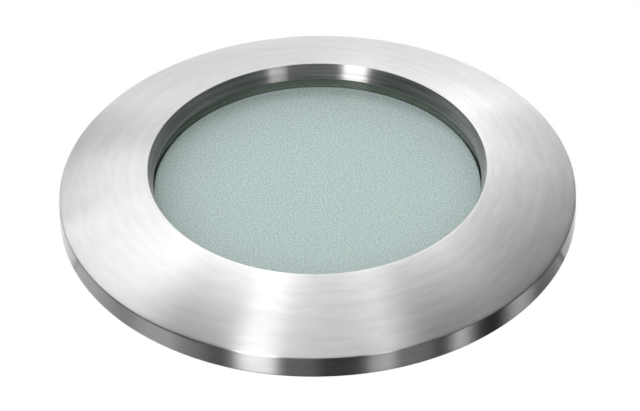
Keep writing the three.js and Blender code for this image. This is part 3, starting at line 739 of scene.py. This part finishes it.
# Lamp sizes
lamp_low, lamp_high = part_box("lamp_reflector")
base_low, base_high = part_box("lamp_base")
lamp_radius = 25.3 * mm
bowl_wall = 1.5 * mm
bowl_height = 31 * mm
bowl_front = lamp_low.z + 2.6 * mm
bowl_back = bowl_front + bowl_height
bowl_step_in = 0.9 * mm
neck_radius = 8.8 * mm
neck_bore = 5.6 * mm
facets_round, facet_rows, facet_cuts = 36, 11, 3
facet_dome = 0.16 * mm
collar_radius = 10.4 * mm
collar_top = bowl_back + 4.1 * mm
base_width = 14 * mm
base_corner = 4 * mm
base_edge = 0.6 * mm


def bowl_radius(share):
    """The bowl is a paraboloid: the square of its radius falls evenly from the rim to the neck."""
    front = lamp_radius - bowl_step_in
    return sqrt(front ** 2 + (neck_radius ** 2 - front ** 2) * share)


def pillowed(radius, height, angle):
    """Sinks the bowl between its facets, so that each one stands as a low pillow."""
    share = (height - bowl_front) / bowl_height
    if not 0 < share < 1 or abs(radius - bowl_radius(share)) > bowl_wall / 4:
        return radius
    row = share * facet_rows
    across = (angle / (2 * pi) * facets_round + 0.5 * (int(row) % 2)) % 1
    along = row % 1
    return radius - facet_dome * (1 - 16 * across * (1 - across) * along * (1 - along)) * radius / lamp_radius


def lamp():
    rows = facet_rows * facet_cuts
    outer = [Vector((bowl_radius(k / rows), bowl_front + bowl_height * k / rows)) for k in range(rows + 1)]
    inner = [Vector((max(p.x - bowl_wall, neck_bore), p.y)) for p in reversed(outer[1:])]
    inside, front, top = lamp_radius - bowl_wall, lamp_low.z, lamp_high.z
    rim = [(inside, front), (lamp_radius - edge_break, front), (lamp_radius, front + edge_break),
           (lamp_radius, bowl_front - bowl_step_in)]
    neck = [(neck_radius, top), (neck_bore, top)]
    outline = [Vector(p) for p in (*rim, *outer, *neck, *inner, (inside, bowl_front))]
    bowl = turned("faceted_lamp_bowl", outline, facets_round * 6, 60, pillowed)
    dressed(bowl, "lamp", "lamp_mirror", "lamp_reflector")
    bottom_round, top_round = 0.5 * mm, 0.9 * mm
    collar = turned("collar", filleted([
        (0, base_low.z), (collar_radius, base_low.z, bottom_round), (collar_radius, collar_top, top_round),
        (0, collar_top)]), lamp_segments)
    block = rounded_block("lamp_base_ceramic", base_width, base_high.y - base_low.y, base_corner,
                          collar_top - top_round, base_high.z, base_edge)
    socket = rod("socket", neck_radius + fit_gap, base_low.z - cut_past, lamp_high.z + fit_gap, lamp_segments)
    dressed(cut(combined(block, "UNION", collar), socket), "lamp", "ceramic", "lamp_base")


def lampholder():
    lead_bore, lead_y = 1.4 * mm, 3.5 * mm
    for part, corner, edge in (("body", 6 * mm, 0.7 * mm), ("cap", 5.5 * mm, 0.9 * mm)):
        low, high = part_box(f"lampholder_{part}")
        block = rounded_block(f"lampholder_ceramic_{part}", high.x - low.x, high.y - low.y, corner,
                              low.z, high.z, edge)
        holes = [drill(screw_bore, low.z, high.z, y=y) for y in (holder_screw_y, -holder_screw_y)]
        if part == "body":
            holes += lock_slots(low.z, high.z)
        else:
            holes += [drill(lead_bore, low.z, high.z, y=y) for y in (lead_y, -lead_y)]
        dressed(cut(block, *holes), "housing", "ceramic", f"lampholder_{part}")


def lock_slots(bottom, top, steps=8):
    """The tools for the two curved slots of the lamp's pins, and for the room above where the heads turn."""
    pin_y, half_width, head_room, lock_angle = 5 * mm, 1.8 * mm, 2.7 * mm, radians(25)
    floor = bottom + 3.5 * mm
    room_half, room_corner, room_edge = head_room + 0.6 * mm, 0.5 * mm, 0.1 * mm
    locked, entry = pi / 2, pi / 2 - lock_angle
    entry_x, entry_y = pin_y * cos(entry), pin_y * sin(entry)
    arc = [entry + (locked - entry) * k / steps for k in range(steps + 1)]
    half_turn = [k / steps * pi for k in range(1, steps)]
    outline = round_about((0, 0), pin_y + half_width, arc)
    outline += round_about((0, pin_y), half_width, [locked + t for t in half_turn])
    outline += round_about((0, 0), pin_y - half_width, reversed(arc))
    outline += round_about((entry_x, entry_y), half_width, [entry + pi + t for t in half_turn])
    tools = []
    for turn in (0, pi):
        slot = lofted("slot", [(outline, bottom - cut_past), (outline, floor + cut_past)])
        hole = drill(head_room, bottom, floor, entry_x, entry_y)
        room = rounded_block("room", entry_x + 2 * room_half, 2 * room_half, room_corner,
                             floor, top + cut_past, room_edge)
        slot = combined(combined(slot, "UNION", hole), "UNION", placed(room, 0, entry_x / 2, pin_y))
        tools.append(placed(slot, turn))
    return tools


def strap():
    """A flat blank, pierced, then bent along its path, so that its holes and rims follow the bends."""
    leg_y = (pad_face + seat_gap) + strap_thickness / 2
    top_z = strap_high.z - strap_thickness / 2
    half = [Vector((leg_y, strap_low.z)), Vector((leg_y, knee_z)), Vector((top_half_length, top_z))]
    path = rounded_path(half + [Vector((-p.x, p.y)) for p in reversed(half)], strap_bend)
    lengths = [0]
    for before, after in zip(path, path[1:]):
        lengths.append(lengths[-1] + (after - before).length)
    total = lengths[-1]
    width, edge = strap_high.x - strap_low.x, 0.18 * mm
    blank = plate("bent_strap", rounded_rectangle(width, total, strap_corner), strap_thickness, edge)
    slot_width, slot_length, slot_corner, slot_edge = 6.4 * mm, 12 * mm, 3.1 * mm, 0.1 * mm
    slot = rounded_block("slot", slot_width, slot_length, slot_corner, -2 * mm, 2 * mm, slot_edge)
    holes = [laid_along_y(slot)]
    foot_hole = total / 2 - (bracket_screw_z - strap_low.z)
    earth_hole = -(total / 2 - (earth_z - strap_low.z))
    for place in (foot_hole, holder_screw_y, -foot_hole, -holder_screw_y, earth_hole):
        bore = earth_bore if place == earth_hole else screw_bore
        holes.append(laid_along_y(drill(bore, -mm, mm), 0, place))
    blank = cut(blank, *holes)
    builder = bmesh.new()
    builder.from_mesh(blank.data)
    for length in lengths[1:-1]:
        everything = builder.verts[:] + builder.edges[:] + builder.faces[:]
        cut_at = (0, 0, length - total / 2)
        bmesh.ops.bisect_plane(builder, geom=everything, plane_co=cut_at, plane_no=(0, 0, 1))
    flat = builder.verts.layers.float_vector.new("flat")
    for vertex in builder.verts:
        vertex[flat] = vertex.co
        travelled = min(max(vertex.co.z + total / 2, 0), total)
        k = min(bisect_right(lengths, travelled + tolerance / 10) - 1, len(path) - 2)
        along = (path[k + 1] - path[k]).normalized()
        middle = path[k] + along * (travelled - lengths[k])
        at_corner = k and travelled - lengths[k] < tolerance
        before = (path[k] - path[k - 1]).normalized() if at_corner else along
        tangent = (along + before).normalized()
        out = Vector((tangent.y, -tangent.x)) / tangent.dot(along)
        place = middle + out * vertex.co.y
        vertex.co = (vertex.co.x, place.x, place.y)
    blank.data.clear_geometry()
    builder.to_mesh(blank.data)
    builder.free()
    shaded(blank.data, 30)
    dressed(blank, "housing", "zinc_steel", "holder_bracket")


def pan_screw(name, length, radius=screw_radius, head=head_radius, height=head_height, slotted=False,
              pitch=0.6 * mm):
    """A pan-head screw about Z whose head stands on z = 0, with a cross or a slot in its head."""
    point, brim, thread_height, drive_depth, sharp = 0.3 * mm, 0.15 * mm, 0.16 * mm, height * 0.62, 40
    outline = filleted([(0, -length), (radius, -length, point), (radius, 0), (head, 0, brim),
                        (head, height, height * 0.7), (0, height)])
    foot = next(i for i, p in enumerate(outline) if abs(p.x - radius) < tolerance)
    outline[foot:foot + 1] = stepped(outline[foot], outline[foot + 1], pitch / 6)
    thread = threaded(radius, outline[foot].y, -pitch, pitch, thread_height)
    screw = turned(name, outline, small_segments, sharp, thread)
    if slotted:
        width, corner, edge = 0.9 * mm, 0.1 * mm, 0.05 * mm
        tool = rounded_block("slot", 2.4 * head, width, corner, height - drive_depth, height + cut_past, edge)
        return cut(screw, tool, sharp=sharp)
    corner = 0.1 * mm
    floor = rounded_rectangle(head * 0.5, 0.45 * mm, corner)
    mouth = rounded_rectangle(head * 1.15, 0.7 * mm, corner)
    for turn in (0, pi / 2):
        tool = lofted("cross", [(floor, height - drive_depth), (mouth, height + seat_gap)])
        screw = cut(screw, placed(tool, turn), sharp=sharp)
    return screw


def fasteners():
    leg_face = pad_face + seat_gap + strap_thickness + seat_gap
    for end, side in (("back", 1), ("front", -1)):
        low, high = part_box(f"holder_screw_{end}")
        screw = pan_screw(f"pan_screw_holder_{end}", high.z - head_height - low.z)
        placed(screw, 0.5 * side, y=side * holder_screw_y, z=high.z - head_height)
        dressed(screw, "housing", "screw_steel", f"holder_screw_{end}")
        low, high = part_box(f"bracket_screw_{end}")
        screw = pan_screw(f"pan_screw_strap_{end}", high.y - low.y - head_height)
        placed(screw, 0.3 + side, z=leg_face)
        placed(laid_along_y(screw, 0, bracket_screw_z), 0 if side > 0 else pi)
        dressed(screw, "housing", "screw_steel", f"bracket_screw_{end}")

    low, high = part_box("earth_screw")
    radius, head, height = 1.8 * mm, 3.5 * mm, 2.2 * mm
    screw = pan_screw("earth_terminal_screw", high.y - low.y - height, radius, head, height, True, 0.7 * mm)
    laid_along_y(placed(screw, 0.6, z=high.y - height), 0, earth_z)
    dressed(screw, "housing", "brass", "earth_screw")

    low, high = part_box("earth_washer")
    outer, teeth, tooth_depth = 4.3 * mm, 20, 0.35 * mm

    def toothed(radius, height, angle):
        in_gap = radius > outer * 0.9 and (angle * teeth / (2 * pi)) % 1 > 0.5
        return radius - (tooth_depth if in_gap else 0)

    washer = hoop("earth_terminal_washer", earth_bore, outer, low.y, high.y, 0, edge_break / 2,
                  6 * teeth, toothed)
    dressed(laid_along_y(washer, 0, earth_z), "housing", "screw_steel", "earth_washer")

    low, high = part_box("earth_nut")
    nut_radius, chamfer = 4.4 * mm, 0.45 * mm
    corners = round_about((0, 0), nut_radius, [k * pi / 3 for k in range(6)])
    nut = lofted("earth_terminal_nut", [(corners, low.y), (corners, high.y)])
    face, widest = nut_radius - chamfer, nut_radius + seat_gap
    dome = turned("dome", [
        (0, low.y - seat_gap), (face, low.y), (widest, low.y + chamfer),
        (widest, high.y - chamfer), (face, high.y), (0, high.y + seat_gap)], lamp_segments)
    nut = cut(combined(nut, "INTERSECT", dome), drill(earth_bore, low.y, high.y))
    dressed(laid_along_y(nut, 0, earth_z), "housing", "screw_steel", "earth_nut")


def clip_wires():
    """The paths of the right clip's back coil, with its tail, and of its arm."""
    swing = sqrt(arm_length ** 2 + coil_radius ** 2)
    droop = asin((pivot_z - tip_z) / swing) - atan2(coil_radius, arm_length)
    sweep = 1.5 * pi - droop - pi + 2 * pi * coil_turns
    steps = round(28 * sweep / (2 * pi))
    tail_x = pivot_x - coil_radius
    coil = [Vector((tail_x, tail_offset, pivot_z + tail_height * (1 - k / 6))) for k in range(6)]
    for k in range(steps + 1):
        angle = pi + sweep * k / steps
        coil.append(Vector((pivot_x + coil_radius * cos(angle), tail_offset + coil_advance * k / steps,
                            pivot_z + coil_radius * sin(angle))))
    root = coil[-1]
    tip = Vector((root.x + arm_length * cos(droop), arm_y, root.z - arm_length * sin(droop)))
    return coil, rounded_path([root, tip, mirror_y @ tip, mirror_y @ root], arm_corner)


def clips():
    """Each clip is one bent wire: its tails and coils stay on the can, and its arm swings with the clip's
    body.
    """
    coil, arm = clip_wires()
    bore, outer = wire_radius + 0.25 * mm, wire_radius + 0.85 * mm
    half_length = (sleeve_high.y - sleeve_low.y) / 2
    head, head_thickness = 1.9 * mm, 0.8 * mm
    reach = (pin_high.y - pin_low.y - head_thickness) / 2
    foot_round, brim_round, head_round = 0.3 * mm, 0.15 * mm, 0.35 * mm
    sleeve_rounds = 0.1 * mm, 0.25 * mm
    for end, turn in (("right", 0), ("left", pi)):
        body, around = f"clip_{end}", Matrix.Rotation(turn, 3, "Z")
        for side, flip in (("back", Matrix.Identity(3)), ("front", mirror_y)):
            piece = wire(f"spring_coil_{end}_{side}", [around @ flip @ p for p in coil], wire_radius)
            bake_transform(piece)
            piece.data.materials.append(looks["spring_steel"])
        piece = wire(f"spring_arm_{end}", [around @ p for p in arm], wire_radius)
        dressed(piece, body, "spring_steel", f"clip_spring_{end}")
        sleeve = hoop(f"vinyl_sleeve_{end}", bore, outer, -half_length, half_length,
                      *sleeve_rounds, small_segments)
        placed(laid_along_y(sleeve, tip_x, tip_z), turn)
        dressed(sleeve, body, "clear_vinyl", f"clip_sleeve_{end}")
        pin = turned(f"pivot_pin_{end}", filleted([
            (0, -reach), (clip_pin_radius, -reach, foot_round), (clip_pin_radius, reach),
            (head, reach, brim_round), (head, reach + head_thickness, head_round),
            (0, reach + head_thickness)]), small_segments)
        placed(laid_along_y(pin, pivot_x, pivot_z), turn)
        dressed(pin, "housing", "screw_steel", f"clip_pin_{end}")


def kept_nodes():
    """The CAD nodes whose own shapes show, with their finishes."""
    for name, look in (("lamp_front_glass", "lamp_glass"), ("lamp_capsule", "lamp_glass"),
                       ("holder_contact_back", "nickel"), ("holder_contact_front", "nickel"),
                       ("lamp_pin_back", "brass"), ("lamp_pin_front", "brass")):
        frame["nodes"][name].material_slots[0].material = looks[look]


# The stage: a ceiling that only a camera under it sees, a pale floor far below, and dark cards round the
# object, as in a photograph of bright metal. The camera doesn't see the cards.
ceiling_half, floor_half, floor_z = 2, 6, -2.4
card_distance, card_step = 2.2, 12
# Each card as azimuth from and to, elevation from and to, in degrees
cards = (
    (0, 360, 0, 72), (0, 360, -88, -66), (198, 324, -66, 0), (324, 330, -66, -22), (330, 336, -22, 0),
    (330, 336, -66, -44), (336, 360, -66, 0), (0, 15, -30, 0), (0, 15, -66, -42), (15, 46, -66, 0),
    (134, 198, -42, 0))
# How strongly the world lights what is matt
room_fill = 0.6

# Soft boxes and strips: each lamp's azimuth, elevation, width and height in degrees, and its radiance
lamp_distance = 1.5
lamps = {
    "far_box": (90, 50, 24, 6, 2.3),
    "far_box_right": (78, 38, 9, 20, 3),
    "far_high": (90, 56, 14, 10, 2.3),
    "far_high_left": (108, 60, 14, 12, 2.65),
    "far_high_right": (72, 58, 14, 12, 1.3),
    "far_low": (90, 18, 34, 16, 1.85),
    "far_low_right": (70, 18, 8, 16, 0.25),
    "right_high": (64, 38, 12, 40, 0.65),
    "right_side": (50, 40, 8, 36, 0.25),
    "left_far": (113, 38, 14, 40, 1.6),
    "left_high": (126, 38, 10, 40, 0.95),
    "left_side": (138, 38, 10, 36, 1.5),
    "left_near": (158, 42, 20, 36, 0.78),
    "room_high": (100, 76, 60, 12, 0.15),
    "room_top": (90, 88, 40, 12, 0.4),
    "camera_high": (270, 74, 40, 12, 0.4),
    "camera_side": (270, 47, 64, 15, 1),
    "left_strip": (245.1, 0, 15.1, 36, 5),
    "left_strip_b": (243.8, 27, 14.3, 18, 3.3),
    "left_strip_c": (241.1, 43, 13, 14, 0.4),
    "left_strip_d": (236.8, 55, 11.8, 10, 0.6),
    "left_strip_e": (230.4, 64, 11, 8, 2.9),
    "thin_strip": (290.6, 0, 2.7, 36, 2.7),
    "thin_strip_b": (291.6, 27, 2.5, 18, 0.6),
    "right_strip": (296.3, 0, 6.5, 36, 2.6),
    "right_strip_b": (311.7, 64, 4.7, 8, 1.5),
    "camera_above": (264, -11, 10, 16, 0.66),
    "left_above": (147, -30, 30, 30, 0.4),
    "left_above_near": (200, -45, 30, 20, 0.27),
    "right_above": (20, -36, 40, 12, 0.28),
    "right_above_far": (332, -33, 16, 20, 0.21),
    "right_above_near": (312, -33, 12, 20, 0.37),
}


def towards(azimuth, elevation):
    """A direction as the photograph shows it, in degrees: azimuth 0 is to the right, 90 is away from the
    camera, and elevation 90 is straight out of the ceiling, towards the room."""
    a, e = radians(azimuth), radians(elevation)
    return Vector((-cos(e) * cos(a), cos(e) * sin(a), -sin(e)))


def white_to_camera(name, one_sided):
    """White to the camera, at a strength of 1. Other rays see it pale and matt, or not at all where it is
    one-sided, and there the camera sees only its front."""
    made, tree, shader = material(name)
    seen = new_node(tree, "LightPath").outputs["Is Camera Ray"]
    glow = put(new_node(tree, "Emission"), Strength=1)
    if one_sided:
        front = maths(tree, "SUBTRACT", 1, new_node(tree, "NewGeometry").outputs["Backfacing"])
        mixed_surface(tree, maths(tree, "MULTIPLY", seen, front), new_node(tree, "BsdfTransparent"), glow)
    else:
        put(shader, Base_Color=(0.8, 0.8, 0.8, 1), Roughness=0.9)
        mixed_surface(tree, seen, shader, glow)
    return made


def sheets(name, corners, faces, made):
    mesh = bpy.data.meshes.new(name)
    mesh.from_pydata(corners, [], faces)
    mesh.materials.append(made)
    piece = linked(name, mesh)
    return piece


def dark_cards():
    """Patches of a sphere round the object, for metal and glass to mirror."""
    corners, faces = [], []
    for left, right, low, high in cards:
        across, along = ceil((right - left) / card_step), ceil((high - low) / card_step)
        wide, tall = (right - left) / across, (high - low) / along
        for i in range(across):
            for j in range(along):
                a, e = left + i * wide, low + j * tall
                faces.append(tuple(range(len(corners), len(corners) + 4)))
                corners += [towards(*p) * card_distance
                            for p in ((a, e), (a + wide, e), (a + wide, e + tall), (a, e + tall))]
    made, _, shader = material("stage_cards")
    put(shader, Base_Color=(0.02, 0.02, 0.02, 1), Roughness=0.9)
    holder = sheets("stage_cards", corners, faces, made)
    holder.visible_camera = False
    holder.visible_diffuse = False


def stage():
    for name, half, height, one_sided, face in (("stage_ceiling", ceiling_half, 0, True, (3, 2, 1, 0)),
                                                ("stage_floor", floor_half, floor_z, False, (0, 1, 2, 3))):
        corners = [(x * half, y * half, height) for x, y in ((-1, -1), (1, -1), (1, 1), (-1, 1))]
        sheets(name, corners, [face], white_to_camera(name, one_sided))
    dark_cards()


def world():
    """White wherever the camera, metal or glass sees it, and a soft fill on everything matt."""
    made = bpy.data.worlds.new("studio")
    made.use_nodes = True
    bpy.context.scene.world = made
    tree = made.node_tree
    seen = new_node(tree, "LightPath").outputs
    mirrored = maths(tree, "MAXIMUM", seen["Is Glossy Ray"], seen["Is Transmission Ray"])
    white = maths(tree, "MAXIMUM", seen["Is Camera Ray"], mirrored)
    put(tree.nodes["Background"], Color=(1, 1, 1, 1), Strength=maths(tree, "MAXIMUM", white, room_fill))


def soft_lamps():
    for name, (azimuth, elevation, width, height, radiance) in lamps.items():
        direction = towards(azimuth, elevation)
        light = bpy.data.lights.new(name, "AREA")
        light.shape = "RECTANGLE"
        light.size, light.size_y = (2 * lamp_distance * tan(radians(a / 2)) for a in (width, height))
        light.energy = radiance * pi * light.size * light.size_y
        holder = linked(name, light)
        holder.location = direction * lamp_distance
        holder.rotation_euler = direction.to_track_quat("Z", "Y").to_euler()
        holder.visible_camera = False


def camera():
    """The camera, solved from the photograph's two ellipses: the rim's outer edge and the opening."""
    elevation, roll = radians(38.78), radians(-0.953)
    distance, aside, above = (radii * ring_radius for radii in (18.6, 0.00835, 0.01295))
    forward = Vector((0, cos(elevation), sin(elevation)))
    level = Vector((-1, 0, 0))
    upright = Vector((0, sin(elevation), -cos(elevation)))
    right = level * cos(roll) + upright * sin(roll)
    up = upright * cos(roll) - level * sin(roll)
    data = bpy.data.cameras.new("camera")
    data.sensor_width, data.lens = 36, 269.4
    data.clip_start, data.clip_end = 0.01, 20
    holder = linked("camera", data)
    matrix = Matrix((right, up, -forward)).transposed().to_4x4()
    matrix.translation = -forward * distance + right * aside + up * above
    holder.matrix_world = matrix
    bpy.context.scene.camera = holder


for build in (trim_ring, glass, housing, seals, retaining_ring, lamp, lampholder, strap, fasteners, clips,
              kept_nodes, stage, world, soft_lamps, camera):
    build()
bpy.context.scene.view_settings.view_transform = "Standard"
